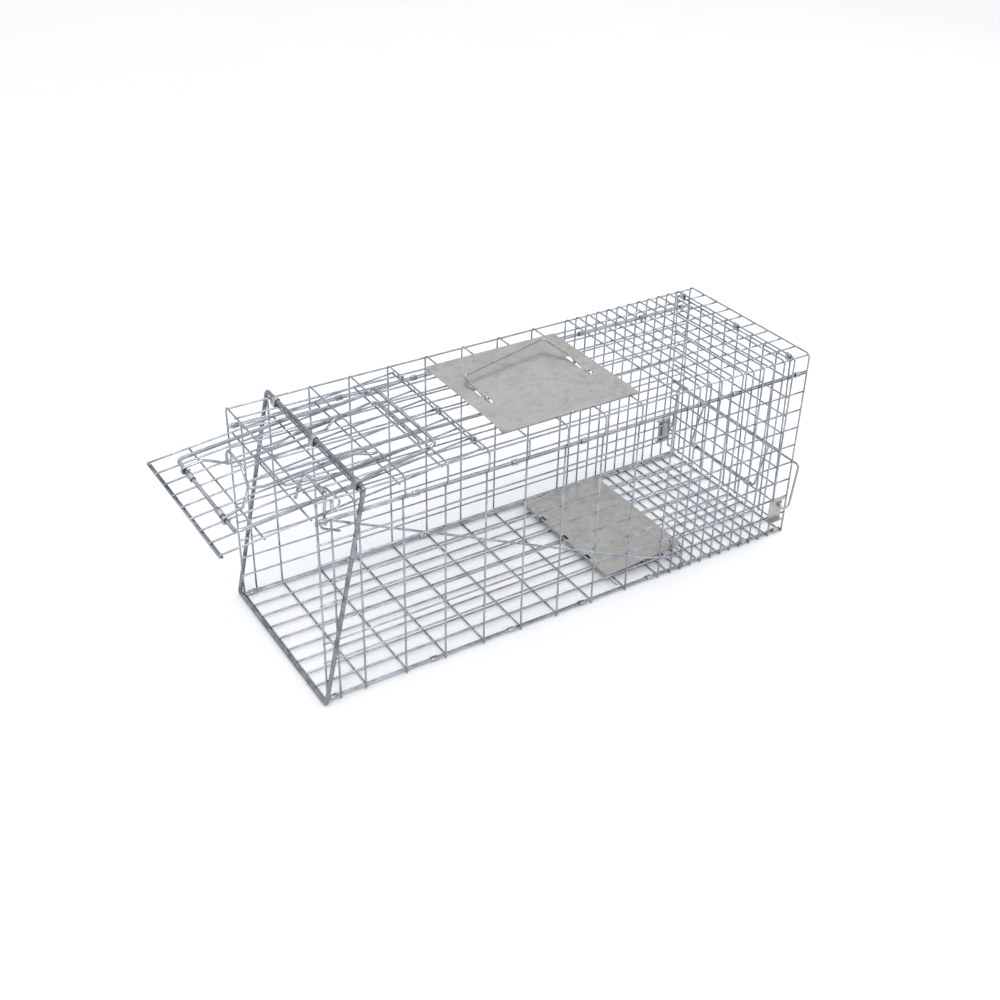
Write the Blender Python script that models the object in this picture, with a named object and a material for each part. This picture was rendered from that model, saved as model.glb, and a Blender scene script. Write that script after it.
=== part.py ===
"""Live catch trap: welded wire cage with an overhead front door, a treadle trigger and a rear door.

Lengths are millimetres in the cage frame (x from the entrance to the rear, y from the near side to the
far side, z up from the ground); place() turns them into metres about the middle of the bounding box.
"""

import math

import bmesh
import bpy
from mathutils import Vector

# ---- scale and origin -------------------------------------------------------------------------------
MM = 0.001
ORIGIN = Vector((283.482, 115.0, 0.0))      # middle of the bounding box, on the ground

# ---- cage -------------------------------------------------------------------------------------------
LENGTH, WIDTH = 660.0, 230.0
MESH_R = 1.1                              # 2.2 mm mesh wire
GAP = 0.3                                 # between wires that cross without a modelled weld
CROSSING = 2 * MESH_R + GAP               # centre distance of two wires that only cross
WELDED = 2 * MESH_R - GAP                 # centre distance of two wires welded together
SEAT = CROSSING - WELDED                  # an edge wire sits this much closer, so that it is welded
FLAT = MESH_R * math.cos(math.pi / 6)     # half width of a wire across its flats
PITCH = 50.8                              # coarse mesh over the front two thirds
FINE_PITCH, FINE_CELLS = 16.2, 11         # close mesh round the bait end
COARSE = [MESH_R] + [PITCH * k for k in range(1, 10)]
STATIONS = COARSE + [COARSE[-1] + FINE_PITCH * k for k in range(1, FINE_CELLS + 1)] + [LENGTH - MESH_R]
NEAR_SHIFT = 3.0                          # the near side is welded this much out of line with the top
CORNER_STATION = 17.0                     # extra upright by the entrance, on the sides only
STUB = 1.1                                # how far a wire runs past the last one it is welded to
TOP_Z, FLANGE_END_Z, FLANGE_ROW_Z = 258.9, 234.0, 235.3
TOP_BARS, TOP_BAR_Y0 = 10, 3.6
SIDE_ROWS, SIDE_ROW_TOP, ROW_PITCH = 10, 232.3, 25.4
SIDE_TOP_END, SIDE_FOOT = 233.5, 0.4
FLOOR_BARS, FLOOR_BAR_Y0, FLOOR_END_Y = 10, 6.2, 3.0

# ---- rear door and its latch ------------------------------------------------------------------------
REAR_HINGE = (635.4, 253.6)
REAR_LEAN = math.radians(2.26)
REAR_ROWS, REAR_PITCH = 10, 25.75
REAR_BARS, REAR_BAR_Y0, REAR_END_Y = 10, 7.0, 6.0
REAR_FERRULE_Y = (12.5, 109.1, 215.1)
REAR_FERRULE_W = 7.6
LATCH_R = 1.5
LATCH_PIVOT = (647.2, 47.6)
LATCH_ROW = 8                             # the door row that carries the latch
LATCH_FERRULE_Y = (61.0, 169.0)
LATCH_ARM_Y = 50.0
LATCH_BAR = (664.0, 104.0)
LATCH_OUT_Y = -6.5
KEEPER = {"x": (629.0, 650.0), "z": (26.0, 59.0), "depth": 6.2, "sheet": 0.8}

# ---- front door -------------------------------------------------------------------------------------
DOOR_HINGE = (203.2, 253.4)
DOOR_SLOPE = math.radians(6.1)
DOOR_ROWS = [PITCH * k for k in range(6)] + [302.0]
DOOR_BARS, DOOR_BAR_Y0, DOOR_BAR_PITCH = 9, 15.0, 25.0
DOOR_END_Y, DOOR_LENGTH = 13.5, 303.117
DOOR_FERRULE_Y = (34.3, 109.0, 195.5)
DOOR_FERRULE_W = 7.0
EDGE_ROD_R, EDGE_ROD_T, EDGE_ROD_N, EDGE_ROD_Y = 1.5, 299.4, -1.6, 14.5

# ---- lock frame, lift link and guide wire -----------------------------------------------------------
LOCK_R = 2.25
LOCK_PIVOT = (162.0, 260.35)
LOCK_BAR = (-71.0, 229.8)
LOCK_REAR_Y, LOCK_FRONT_Y = 44.0, 35.0    # near arm; the far arm mirrors it
LOCK_RISE = MESH_R + LOCK_R + GAP         # arms above the door bars
LOCK_KINK_X, LOCK_TAPER_X = 154.0, (108.0, 60.0)
LOCK_FERRULE_Y = (75.0, 155.0)
LOCK_FERRULE_W, LOCK_FERRULE_R = 14.0, 3.1
LINK_R = 1.4
LINK_RING_Y, LINK_RING_R = 60.0, 4.2
LINK_ELBOW, LINK_SHOULDER = (-51.0, 62.0, 237.8), (-34.0, 87.0, 241.8)
LINK_GRIP_Y, LINK_GRIP_Z, LINK_GRIP_X = 94.0, 263.6, -35.5
LINK_N = 7.9                              # runners above the door's hinge plane
LINK_RUN_X, LINK_RUN_Y, LINK_FOOT_Y = (-18.0, 82.0, 100.0), 85.5, 70.5
GUIDE_N = 4.7
GUIDE_REAR, GUIDE_ARM_X, GUIDE_FRONT = (154.0, 61.5), (113.0, 59.0), (2.0, 80.0)
GUIDE_ARM_Y = 65.0
DOOR_CLIP_T = 96.0

# ---- front brace ------------------------------------------------------------------------------------
BRACE_R = 2.5
BRACE_TOP, BRACE_FOOT = (52.5, 263.2), (-2.9, 2.8)
BRACE_Y = -3.4
BRACE_CORNER = 3.2
BRACE_FERRULE_Y = (10.5, 111.5, 208.5)
BRACE_FERRULE_W = 9.6

# ---- guard plate and carry handle -------------------------------------------------------------------
PLATE = {"x": (236.0, 418.0), "y": (24.0, 199.0), "z": (260.3, 261.1)}
PLATE_TAB, PLATE_TAB_Z = 10.0, 258.3
PLATE_NOTCH = {"x": (322.0, 329.0), "y": (23.0, 27.0)}
SLOTS = ({"x": (255.8, 262.2), "y": (85.0, 121.0)}, {"x": (393.8, 400.2), "y": (85.0, 139.0)})
HANDLE_R = 1.5
HANDLE_AXIS = (88.0, 258.3)               # y, z of the pins
HANDLE_TILT = math.radians(8.5)
HANDLE_PINS = ((271.0, 259.0), (385.0, 397.0))
HANDLE_LEGS = (((259.0, 42.0), (257.5, 59.7)), ((397.0, 50.0), (387.0, 89.0)))
HANDLE_CORNER = 6.0

# ---- treadle ----------------------------------------------------------------------------------------
TREADLE_AXIS = (396.0, 7.4)
TREADLE_WIRE_R, TREADLE_WIRE_Y = 1.5, (8.0, 222.0)
TREADLE_Y, TREADLE_REAR = (26.0, 215.0), (510.0, 17.5)
TREADLE_ROLL_R, TREADLE_SHEET = 2.35, 0.8
TREADLE_NOTCHES = ((66.0, 76.0), (116.0, 126.0), (166.0, 176.0))
ROD_R, ROD_Y = 1.4, 7.1
ROD_PIVOT = (497.0, 18.75)
ROD_TIP_Y, ROD_TIP_Z = 33.0, 26.0
STRAP_Y, STRAP_R, STRAP_SHEET = (27.2, 30.2), 2.4, 0.7

# ---- trigger at the entrance ------------------------------------------------------------------------
TRIGGER_R = 1.75
TRIGGER_AXIS = (16.4, 259.85)
TRIGGER_Y = (10.5, 59.0)
CATCH_TIP, CATCH_KNEE = (4.6, 231.6), (9.0, 245.0)
CRANK_TIP, CRANK_END_Y = (13.0, 227.6), 5.9
TRIGGER_FERRULE_Y, TRIGGER_FERRULE_R = (13.1, 26.6), 2.75
HOOK_R = 1.2
TUBE_X, TUBE_Y, TUBE_Z, TUBE_R = 17.0, -2.6, (250.6, 259.0), 2.0

# ---- crimped clips along the seams ------------------------------------------------------------------
CLIP_W, CLIP_SHEET, CLIP_R = 8.0, 0.7, 1.98
SEAM_CLIPS = {
    "near_bottom": (10.0, 136.0, 240.0, 341.0, 443.0, 594.9),
    "near_top": (9.0, 115.0, 237.0, 328.0, 497.7, 645.5),
    "far_bottom": (10.0, 140.0, 246.0, 348.0, 562.5),
    "far_top": (9.0, 138.0, 237.0, 481.5, 645.5),
}

# ---- finishes: base colour, metallic, roughness -----------------------------------------------------
FINISHES = {
    "zinc_wire": ((0.60, 0.62, 0.65, 1.0), 1.0, 0.32),
    "bright_wire": ((0.66, 0.68, 0.70, 1.0), 1.0, 0.26),
    "galvanised_sheet": ((0.66, 0.66, 0.64, 1.0), 0.9, 0.42),
    "crimped_strip": ((0.55, 0.57, 0.60, 1.0), 1.0, 0.30),
}

X, Y, Z = Vector((1, 0, 0)), Vector((0, 1, 0)), Vector((0, 0, 1))


# ---- geometry helpers -------------------------------------------------------------------------------
def clear_scene():
    for obj in list(bpy.data.objects):
        bpy.data.objects.remove(obj, do_unlink=True)


def hexagon(radius):
    """A wire's section, with a ridge along +u and one along -u."""
    return [(radius * math.cos(k * math.pi / 3), radius * math.sin(k * math.pi / 3)) for k in range(6)]


def flat_strip(thickness, width):
    u, v = thickness / 2, width / 2
    return [(u, v), (-u, v), (-u, -v), (u, -v)]


def sweep(bm, path, section, ridge, closed=False):
    """Sweep a section along straight runs with mitred corners; `ridge` is where its +u points."""
    points = [Vector(p) for p in path]
    count = len(points)
    runs = [(points[(k + 1) % count] - points[k]).normalized() for k in range(count if closed else count - 1)]
    first = runs[0]
    u = (Vector(ridge) - first * first.dot(Vector(ridge))).normalized()
    v = first.cross(u)
    ring = [points[0] + u * a + v * b for a, b in section]
    rings = []
    for k, centre in enumerate(points):
        before = runs[k - 1] if (closed or k > 0) else runs[0]
        after = runs[k] if (closed or k < count - 1) else runs[-1]
        along = runs[0] if k == 0 else before
        mitre = (before + after).normalized()
        ring = [p + along * ((centre - p).dot(mitre) / along.dot(mitre)) for p in ring]
        rings.append([bm.verts.new(p) for p in ring])
    sides = len(section)
    for k in range(count if closed else count - 1):
        back, front = rings[k], rings[(k + 1) % count]
        for j in range(sides):
            face = bm.faces.new((back[j], back[(j + 1) % sides], front[(j + 1) % sides], front[j]))
            face.smooth = sides > 4
    if not closed:
        bm.faces.new(list(reversed(rings[0])))
        bm.faces.new(rings[-1])


def box(bm, low, high):
    corners = [[(x, y, z) for x in (low[0], high[0]) for y in (low[1], high[1])] for z in (low[2], high[2])]
    a, b = ([bm.verts.new(c) for c in layer] for layer in corners)
    order = (0, 1, 3, 2)
    bm.faces.new([a[k] for k in order])
    bm.faces.new([b[k] for k in reversed(order)])
    for k in range(4):
        i, j = order[k], order[(k + 1) % 4]
        bm.faces.new((a[j], a[i], b[i], b[j]))


def rounded(path, radius, steps=2, closed=False):
    """Replace each corner of a path with an arc of a few runs."""
    points = [Vector(p) for p in path]
    count = len(points)
    found = []
    for k, corner in enumerate(points):
        if not closed and k in (0, count - 1):
            found.append(corner)
            continue
        back = (points[k - 1] - corner).normalized()
        ahead = (points[(k + 1) % count] - corner).normalized()
        turn = math.pi - back.angle(ahead)
        reach = radius * math.tan(turn / 2)
        centre = corner + (back + ahead).normalized() * (radius / math.cos(turn / 2))
        start, end = corner + back * reach - centre, corner + ahead * reach - centre
        for step in range(steps + 1):
            found.append(centre + start.normalized().slerp(end.normalized(), step / steps) * radius)
    return found


def loop_points(first, second, radius, steps, gap):
    """An open loop round two parallel wires, in the plane across them; its seam is beside their middle."""
    a, b = Vector(first), Vector(second)
    apart = (b - a).length
    e = (b - a).normalized() if apart > 1e-6 else Vector((0.0, 1.0))
    s = Vector((-e.y, e.x))
    middle = (a + b) / 2
    skip = 0 if apart > gap else 1
    found = [middle + s * radius + e * gap / 2]
    for centre, sign in ((b, 1), (a, -1)):
        for step in range(steps + 1):
            if skip and ((sign > 0 and step == 0) or (sign < 0 and step in (0, steps))):
                continue
            angle = math.pi * step / steps
            found.append(centre + s * (sign * math.cos(angle) * radius) + e * (sign * math.sin(angle) * radius))
    found.append(middle + s * radius - e * gap / 2)
    return found


def crimp(bm, first, second, radius, sheet, low, high, axis, steps=3, gap=1.0):
    """A strip rolled round one or two parallel wires; `axis` is the letter they run along."""
    spread = {"y": lambda p, m: (p.x, m, p.y), "x": lambda p, m: (m, p.x, p.y), "z": lambda p, m: (p.x, p.y, m)}
    middle = (low + high) / 2
    path = [spread[axis](p, middle) for p in loop_points(first, second, radius, steps, gap)]
    centre = Vector(spread[axis]((Vector(first) + Vector(second)) / 2, middle))
    sweep(bm, path, flat_strip(sheet, high - low), Vector(path[0]) - centre)


def mirrored(path):
    return [(x, WIDTH - y, z) for x, y, z in path]


def door_point(t, y, n):
    """A point on the front door: t forward from its hinge, n above the hinge plane."""
    c, s = math.cos(DOOR_SLOPE), math.sin(DOOR_SLOPE)
    return (DOOR_HINGE[0] - t * c - n * s, y, DOOR_HINGE[1] - t * s + n * c)


def door_at(x, y, n):
    """The point of the door's layer n that has this x."""
    t = (DOOR_HINGE[0] - x - n * math.sin(DOOR_SLOPE)) / math.cos(DOOR_SLOPE)
    return door_point(t, y, n)


def rear_point(s, y, out):
    """A point on the rear door: s down from its hinge, out behind the hinge plane."""
    c, n = math.cos(REAR_LEAN), math.sin(REAR_LEAN)
    return (REAR_HINGE[0] + s * n + out * c, y, REAR_HINGE[1] - s * c + out * n)


# ---- objects ----------------------------------------------------------------------------------------
def material(name, finish):
    colour, metallic, roughness = FINISHES[finish]
    made = bpy.data.materials.new(name)
    made.use_nodes = True
    shader = made.node_tree.nodes["Principled BSDF"]
    shader.inputs["Base Color"].default_value = colour
    shader.inputs["Metallic"].default_value = metallic
    shader.inputs["Roughness"].default_value = roughness
    return made


def place(name, bm, pivot):
    """Link a mesh whose origin is `pivot`, both in the cage frame."""
    pivot = Vector(pivot)
    for vertex in bm.verts:
        vertex.co = (vertex.co - pivot) * MM
    mesh = bpy.data.meshes.new(name)
    bm.to_mesh(mesh)
    bm.free()
    obj = bpy.data.objects.new(name, mesh)
    obj.location = (pivot - ORIGIN) * MM
    bpy.context.scene.collection.objects.link(obj)
    return obj


def node(name, bm, finish, pivot=None):
    obj = place(name, bm, pivot or ORIGIN)
    obj.data.materials.append(material(name + "_finish", finish))
    return obj


def combine(obj, bm, operation, label):
    """Join the shapes of bm to obj, or cut them out of it."""
    tool = place(f"{obj.name}_{label}", bm, ORIGIN)
    tool.hide_render = True
    tool.display_type = "WIRE"
    modifier = obj.modifiers.new(label, "BOOLEAN")
    modifier.operation = operation
    modifier.solver = "EXACT"
    modifier.object = tool


def wire(bm, path, radius, ridge, closed=False):
    sweep(bm, path, hexagon(radius), ridge, closed)


def spread(first, last, count):
    return [first + (last - first) * k / (count - 1) for k in range(count)]


def at_edge(k, count):
    return k in (0, count - 1)


# ---- the cage ---------------------------------------------------------------------------------------
def build_top_panel():
    bars, ribs = bmesh.new(), bmesh.new()
    for y in spread(TOP_BAR_Y0, WIDTH - TOP_BAR_Y0, TOP_BARS):
        wire(bars, [(0, y, TOP_Z - CROSSING), (LENGTH, y, TOP_Z - CROSSING)], MESH_R, Z)
    for y in (MESH_R + WELDED, WIDTH - MESH_R - WELDED):
        wire(bars, [(0, y, FLANGE_ROW_Z), (LENGTH, y, FLANGE_ROW_Z)], MESH_R, Y)
    for k, x in enumerate(STATIONS):
        top = TOP_Z - (SEAT if at_edge(k, len(STATIONS)) else 0)
        near = [(x, MESH_R, FLANGE_END_Z), (x, MESH_R, top)]
        wire(ribs, near + mirrored(reversed(near)), MESH_R, Y)
    combine(node("top_panel", bars, "zinc_wire"), ribs, "UNION", "cross_wires")


def build_side_panel(name, far):
    turn = mirrored if far else list
    rows, uprights = bmesh.new(), bmesh.new()
    for k in range(SIDE_ROWS):
        y = MESH_R + (WELDED if at_edge(k, SIDE_ROWS) else CROSSING)
        z = SIDE_ROW_TOP - ROW_PITCH * k
        wire(rows, turn([(0, y, z), (LENGTH, y, z)]), MESH_R, Y)
    shift = 0.0 if far else NEAR_SHIFT
    stations = sorted([x - shift if x in COARSE[1:] else x for x in STATIONS] + [CORNER_STATION])
    for k, x in enumerate(stations):
        y = MESH_R + (SEAT if at_edge(k, len(stations)) else 0)
        wire(uprights, turn([(x, y, SIDE_FOOT), (x, y, SIDE_TOP_END)]), MESH_R, Y)
    combine(node(name, rows, "zinc_wire"), uprights, "UNION", "uprights")


def build_floor_panel():
    bars, ribs = bmesh.new(), bmesh.new()
    rib_top = 2 * FLAT
    for k, y in enumerate(spread(FLOOR_BAR_Y0, WIDTH - FLOOR_BAR_Y0, FLOOR_BARS)):
        z = rib_top + MESH_R + GAP - (SEAT if at_edge(k, FLOOR_BARS) else 0)
        wire(bars, [(0, y, z), (LENGTH, y, z)], MESH_R, Z)
    for k, x in enumerate(STATIONS):
        z = FLAT + (SEAT if at_edge(k, len(STATIONS)) else 0)
        wire(ribs, [(x, FLOOR_END_Y, z), (x, WIDTH - FLOOR_END_Y, z)], MESH_R, X)
    combine(node("floor_panel", bars, "zinc_wire"), ribs, "UNION", "cross_wires")


def build_rear_door():
    rows, bars = bmesh.new(), bmesh.new()
    out = Vector((math.cos(REAR_LEAN), 0, math.sin(REAR_LEAN)))
    for k in range(REAR_ROWS):
        depth = 0 if at_edge(k, REAR_ROWS) else SEAT
        ends = [rear_point(REAR_PITCH * k, y, depth) for y in (REAR_END_Y, WIDTH - REAR_END_Y)]
        wire(rows, ends, MESH_R, out)
    for k, y in enumerate(spread(REAR_BAR_Y0, WIDTH - REAR_BAR_Y0, REAR_BARS)):
        depth = -WELDED + (SEAT if at_edge(k, REAR_BARS) else 0)
        foot = REAR_PITCH * (REAR_ROWS - 1) + STUB
        wire(bars, [rear_point(-STUB + GAP, y, depth), rear_point(foot, y, depth)], MESH_R, out)
    pivot = (REAR_HINGE[0], WIDTH / 2, REAR_HINGE[1])
    combine(node("rear_door", rows, "zinc_wire", pivot), bars, "UNION", "uprights")
    for k, y in enumerate(REAR_FERRULE_Y):
        bm = bmesh.new()
        half = REAR_FERRULE_W / 2
        crimp(bm, REAR_HINGE, (REAR_HINGE[0], TOP_Z), CLIP_R, CLIP_SHEET, y - half, y + half, "y")
        node(f"rear_hinge_ferrule_{k + 1}", bm, "crimped_strip")


def build_rear_latch():
    inner, outer = bmesh.new(), bmesh.new()
    foot, head = LATCH_PIVOT, LATCH_BAR
    arm = [(head[0], LATCH_ARM_Y, head[1]), (foot[0], LATCH_ARM_Y, foot[1])]
    wire(inner, arm + mirrored(reversed(arm)), LATCH_R, X)
    end = [(645.0, -4.0, 54.0), (645.0, -4.0, 46.0), (651.0, -4.6, 40.0), (658.5, -5.6, 44.0),
           (head[0], LATCH_OUT_Y, head[1])]
    wire(outer, end + mirrored(reversed(end)), LATCH_R, X)
    pivot = (foot[0], WIDTH / 2, foot[1])
    combine(node("rear_latch_frame", outer, "bright_wire", pivot), inner, "UNION", "inner_wire")
    row = rear_point(REAR_PITCH * LATCH_ROW, 0, SEAT)
    for k, y in enumerate(LATCH_FERRULE_Y):
        bm = bmesh.new()
        crimp(bm, (row[0], row[2]), foot, CLIP_R + LATCH_R - MESH_R, CLIP_SHEET, y - 4, y + 4, "y")
        node(f"rear_latch_ferrule_{k + 1}", bm, "crimped_strip")
    for name, turn in (("rear_latch_plate_near", list), ("rear_latch_plate_far", mirrored)):
        bm = bmesh.new()
        middle, sheet = sum(KEEPER["x"]) / 2, KEEPER["sheet"]
        low, high = KEEPER["z"][0] + sheet / 2, KEEPER["z"][1] - sheet / 2
        face_y, lip_y = -GAP - sheet / 2, -GAP - KEEPER["depth"]
        path = [(middle, lip_y, low), (middle, face_y, low), (middle, face_y, high), (middle, lip_y, high)]
        sweep(bm, turn(path), flat_strip(sheet, KEEPER["x"][1] - KEEPER["x"][0]), Z)
        node(name, bm, "galvanised_sheet")


# ---- the front door and what rides on it ------------------------------------------------------------
def build_front_door():
    bars, rows = bmesh.new(), bmesh.new()
    up = Vector(door_point(0, 0, 1)) - Vector(door_point(0, 0, 0))
    bar_y = [DOOR_BAR_Y0 + DOOR_BAR_PITCH * k for k in range(DOOR_BARS)]
    for k, y in enumerate(bar_y):
        n = WELDED - (SEAT if at_edge(k, DOOR_BARS) else 0)
        wire(bars, [door_point(-STUB, y, n), door_point(DOOR_LENGTH, y, n)], MESH_R, up)
    for k, t in enumerate(DOOR_ROWS):
        n = 0 if at_edge(k, len(DOOR_ROWS)) else -SEAT
        wire(rows, [door_point(t, DOOR_END_Y, n), door_point(t, WIDTH - DOOR_END_Y, n)], MESH_R, up)
    pivot = (DOOR_HINGE[0], WIDTH / 2, DOOR_HINGE[1])
    combine(node("front_door", bars, "zinc_wire", pivot), rows, "UNION", "cross_wires")

    bm = bmesh.new()
    ends = (EDGE_ROD_Y, WIDTH - EDGE_ROD_Y)
    wire(bm, [door_point(EDGE_ROD_T, y, EDGE_ROD_N) for y in ends], EDGE_ROD_R, up)
    node("door_edge_rod", bm, "bright_wire")

    for k, y in enumerate(DOOR_FERRULE_Y):
        bm, half = bmesh.new(), DOOR_FERRULE_W / 2
        crimp(bm, DOOR_HINGE, (DOOR_HINGE[0], TOP_Z), CLIP_R, CLIP_SHEET, y - half, y + half, "y")
        node(f"door_hinge_ferrule_{k + 1}", bm, "crimped_strip")


def build_lock_frame():
    layer = WELDED + LOCK_RISE
    kink = door_at(LOCK_KINK_X, LOCK_REAR_Y, layer)
    near = [(LOCK_PIVOT[0], LOCK_REAR_Y, LOCK_PIVOT[1]), kink,
            door_at(LOCK_TAPER_X[0], LOCK_REAR_Y, layer), door_at(LOCK_TAPER_X[1], LOCK_FRONT_Y, layer),
            (LOCK_BAR[0] + 9, LOCK_FRONT_Y, LOCK_BAR[1] + 0.95),
            (LOCK_BAR[0] + 2.6, LOCK_FRONT_Y + 2.6, LOCK_BAR[1] + 0.3),
            (LOCK_BAR[0], LOCK_FRONT_Y + 9, LOCK_BAR[1])]
    bm = bmesh.new()
    wire(bm, near + mirrored(reversed(near)), LOCK_R, Z, closed=True)
    node("lock_frame", bm, "bright_wire", (LOCK_PIVOT[0], WIDTH / 2, LOCK_PIVOT[1]))
    for k, y in enumerate(LOCK_FERRULE_Y):
        bm, half = bmesh.new(), LOCK_FERRULE_W / 2
        crimp(bm, LOCK_BAR, LOCK_BAR, LOCK_FERRULE_R, CLIP_SHEET, y - half, y + half, "y", steps=4)
        node(f"lock_bar_ferrule_{k + 1}", bm, "crimped_strip")


def build_lift_link():
    frame, runners = bmesh.new(), bmesh.new()
    bar_x, bar_z = LOCK_BAR
    turns = [math.radians(a) for a in (10, -35, -80, -125, -170, -215, -250)]
    ring = [(bar_x + LINK_RING_R * math.cos(a), LINK_RING_Y, bar_z + LINK_RING_R * math.sin(a)) for a in turns]
    near = ring + [LINK_ELBOW, LINK_SHOULDER, (LINK_GRIP_X, LINK_GRIP_Y - 3, LINK_GRIP_Z - 8),
                   (LINK_GRIP_X, LINK_GRIP_Y + 4, LINK_GRIP_Z)]
    wire(frame, near + mirrored(reversed(near)), LINK_R, Y)
    x0, x1, x2 = LINK_RUN_X
    shoulder = Vector(LINK_SHOULDER) + Vector((-1.2, 0, -0.4))
    run = [tuple(shoulder), door_at(x0, LINK_RUN_Y, LINK_N + 1.5), door_at(x1, LINK_RUN_Y, LINK_N),
           door_at(x2, LINK_FOOT_Y, LINK_N), door_at(x2 + 6, LINK_FOOT_Y, LINK_N)]
    for path in (run, mirrored(run)):
        wire(runners, path, LINK_R, Z)
    pivot = (bar_x, WIDTH / 2, bar_z)
    combine(node("lift_link", frame, "bright_wire", pivot), runners, "UNION", "runners")


def build_guide_wire():
    bm = bmesh.new()
    near = [door_at(GUIDE_REAR[0], GUIDE_REAR[1], GUIDE_N), door_at(GUIDE_ARM_X[0], GUIDE_ARM_Y, GUIDE_N),
            door_at(GUIDE_ARM_X[1], GUIDE_ARM_Y, GUIDE_N), door_at(GUIDE_FRONT[0], GUIDE_FRONT[1], GUIDE_N)]
    wire(bm, near + mirrored(reversed(near)), LINK_R, Z, closed=True)
    node("door_guide_wire", bm, "bright_wire")
    c, s = math.cos(DOOR_SLOPE), math.sin(DOOR_SLOPE)
    for name, y in (("door_clip_near", GUIDE_ARM_Y), ("door_clip_far", WIDTH - GUIDE_ARM_Y)):
        bm = bmesh.new()
        loop = loop_points((y, WELDED), (y, GUIDE_N), CLIP_R + 0.3, 3, 1.0)
        path = [door_point(DOOR_CLIP_T, p.x, p.y) for p in loop]
        centre = Vector(door_point(DOOR_CLIP_T, y, (WELDED + GUIDE_N) / 2))
        sweep(bm, path, flat_strip(CLIP_SHEET, CLIP_W), Vector(path[0]) - centre)
        node(name, bm, "crimped_strip")


# ---- brace, guard plate, carry handle ---------------------------------------------------------------
def build_front_brace():
    near = [(BRACE_TOP[0], BRACE_Y, BRACE_TOP[1]), (BRACE_FOOT[0], BRACE_Y, BRACE_FOOT[1])]
    loop = rounded(near + mirrored(reversed(near)), BRACE_CORNER, steps=2, closed=True)
    bm = bmesh.new()
    wire(bm, loop, BRACE_R, Y, closed=True)
    node("front_brace", bm, "bright_wire")
    for k, y in enumerate(BRACE_FERRULE_Y):
        bm, half = bmesh.new(), BRACE_FERRULE_W / 2
        crimp(bm, (PITCH, TOP_Z), BRACE_TOP, BRACE_R + 1.05, CLIP_SHEET, y - half, y + half, "y")
        node(f"brace_ferrule_{k + 1}", bm, "crimped_strip")


def build_guard_plate():
    bm, tabs, holes = bmesh.new(), bmesh.new(), bmesh.new()
    (x0, x1), (y0, y1), (z0, z1) = PLATE["x"], PLATE["y"], PLATE["z"]
    sheet = z1 - z0
    box(bm, (x0, y0, z0), (x1, y1, z1))
    for low in (y0 + GAP, y1 - GAP - PLATE_TAB):
        box(tabs, (x0 - sheet, low, PLATE_TAB_Z), (x0 + GAP, low + PLATE_TAB, z1 - GAP))
    for cut in SLOTS + (PLATE_NOTCH,):
        box(holes, (cut["x"][0], cut["y"][0], z0 - 1), (cut["x"][1], cut["y"][1], z1 + 1))
    plate = node("guard_plate", bm, "galvanised_sheet")
    combine(plate, tabs, "UNION", "corner_tabs")
    combine(plate, holes, "DIFFERENCE", "slots")


def build_carry_handle():
    y0, z0 = HANDLE_AXIS
    c, s = math.cos(HANDLE_TILT), math.sin(HANDLE_TILT)
    front, rear = [[(pin[0], y0, z0), (pin[1], y0, z0)] + [(x, y0 + r * c, z0 + r * s) for x, r in leg]
                   for pin, leg in zip(HANDLE_PINS, HANDLE_LEGS)]
    path = front + list(reversed(rear))
    bm = bmesh.new()
    grip = rounded(path[2:6], HANDLE_CORNER, steps=2)
    wire(bm, path[:2] + grip + path[6:], HANDLE_R, (0, -s, c))
    node("carry_handle", bm, "bright_wire", ((PLATE["x"][0] + PLATE["x"][1]) / 2, y0, z0))


# ---- treadle, rod and trigger -----------------------------------------------------------------------
def build_treadle():
    (ax, az), middle = TREADLE_AXIS, sum(TREADLE_Y) / 2
    bm = bmesh.new()
    turns = [math.radians(a) for a in (305, 260, 215, 170, 125, 85)]
    roll = [(ax + TREADLE_ROLL_R * math.cos(a), middle, az + TREADLE_ROLL_R * math.sin(a)) for a in turns]
    sweep(bm, roll + [(TREADLE_REAR[0], middle, TREADLE_REAR[1])],
          flat_strip(TREADLE_SHEET, TREADLE_Y[1] - TREADLE_Y[0]), (0.6, 0, -0.8))
    plate = node("treadle_plate", bm, "galvanised_sheet", (ax, WIDTH / 2, az))

    start = roll[-1]
    slope = (TREADLE_REAR[1] - start[2]) / (TREADLE_REAR[0] - start[0])
    px, pz = ROD_PIVOT
    feet = [(x, start[2] + slope * (x - start[0])) for x in (px - 6, px - 2.9, px + 2.9, px + 6)]
    arch = [(px + STRAP_R * math.cos(a), pz + STRAP_R * math.sin(a))
            for a in (math.radians(d) for d in (180, 135, 90, 45, 0))]
    y = sum(STRAP_Y) / 2
    bm = bmesh.new()
    sweep(bm, [(x, y, z) for x, z in feet[:2] + arch + feet[2:]],
          flat_strip(STRAP_SHEET, STRAP_Y[1] - STRAP_Y[0]), Z)
    combine(plate, bm, "UNION", "rod_strap")
    bm = bmesh.new()
    for low, high in TREADLE_NOTCHES:
        box(bm, (ax - 4, low, az - 4), (ax + 3.2, high, az + 5))
    combine(plate, bm, "DIFFERENCE", "notches")

    bm = bmesh.new()
    wire(bm, [(ax, TREADLE_WIRE_Y[0], az), (ax, TREADLE_WIRE_Y[1], az)], TREADLE_WIRE_R, Z)
    node("treadle_hinge_wire", bm, "bright_wire")


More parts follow.
